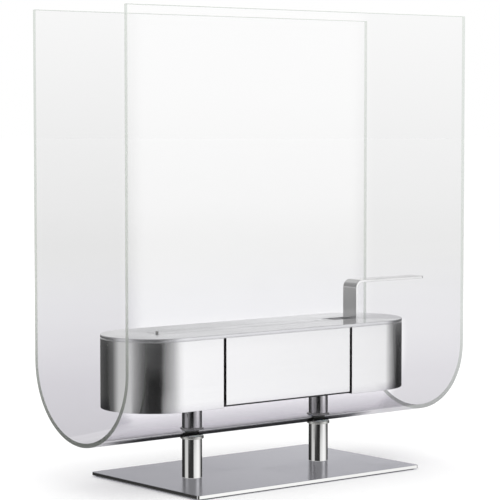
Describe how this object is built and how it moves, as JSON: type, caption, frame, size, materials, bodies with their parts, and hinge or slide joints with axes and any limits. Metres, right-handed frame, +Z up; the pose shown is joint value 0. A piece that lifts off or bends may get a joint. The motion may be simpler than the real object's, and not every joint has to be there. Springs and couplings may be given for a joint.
{
  "type": "tabletop ethanol fireplace",
  "caption": "Tabletop ethanol fireplace: U-bent glass flame screen clamped on round posts over a steel base, with a round-ended burner housing and a lift-off slot closure.",
  "frame": {"origin": "centre of the base's underside, on the surface that the fireplace stands on", "axes": "+Z up; +X along the burner housing, towards the end where the closure's handle leaves the glass; -Y is the front, where the flush panel is"},
  "size_m": [0.508, 0.204, 0.5378],
  "materials": {
    "polished_steel": "polished stainless steel",
    "satin_steel": "satin stainless sheet",
    "brushed_steel": "brushed stainless steel, grain along the length",
    "fastener_steel": "zinc-plated or plain stainless fasteners",
    "clear_glass": "clear bent glass with ground edges",
    "silicone": "translucent silicone",
    "nylon": "natural nylon",
    "pad_rubber": "thin black anti-slip rubber",
    "ceramic_fibre": "white ceramic fibre wool"
  },
  "bodies": {
    "stand": {"base_pad": "pad_rubber", "base_plate": "brushed_steel", "base_screws": "fastener_steel", "lower_post_left": "polished_steel", "lower_post_right": "polished_steel", "lower_collar_left": "polished_steel", "lower_collar_right": "polished_steel", "lower_gasket_left": "silicone", "lower_gasket_right": "silicone", "glass_screen": "clear_glass", "glass_bush_left": "nylon", "glass_bush_right": "nylon", "upper_gasket_left": "silicone", "upper_gasket_right": "silicone", "upper_collar_left": "polished_steel", "upper_collar_right": "polished_steel", "clamp_stud_left": "fastener_steel", "clamp_stud_right": "fastener_steel", "upper_post_left": "polished_steel", "upper_post_right": "polished_steel", "housing_floor": "satin_steel", "housing_screws": "fastener_steel", "housing_shell": "polished_steel", "panel_pan": "satin_steel", "front_panel": "polished_steel", "panel_nuts": "fastener_steel", "tank_cradle_left": "satin_steel", "tank_cradle_right": "satin_steel", "fuel_tank": "satin_steel", "fibre_block": "ceramic_fibre", "fibre_mesh": "satin_steel", "tank_cover": "satin_steel"},
    "lid": {"lid_plate": "polished_steel", "lid_tabs": "satin_steel", "slot_rail_front": "satin_steel", "slot_rail_rear": "satin_steel"},
    "closure": {"closure_bar": "polished_steel", "closure_handle": "polished_steel", "handle_rivets": "fastener_steel", "closure_stud": "polished_steel"}
  },
  "joints": [
    {"name": "lid_lift", "type": "slide", "parent": "stand", "child": "lid", "axis": [0, 0, 1], "range_m": [0, 0.4]},
    {"name": "closure_lift", "type": "slide", "parent": "lid", "child": "closure", "axis": [0, 0, 1], "range_m": [0, 0.4]}
  ]
}
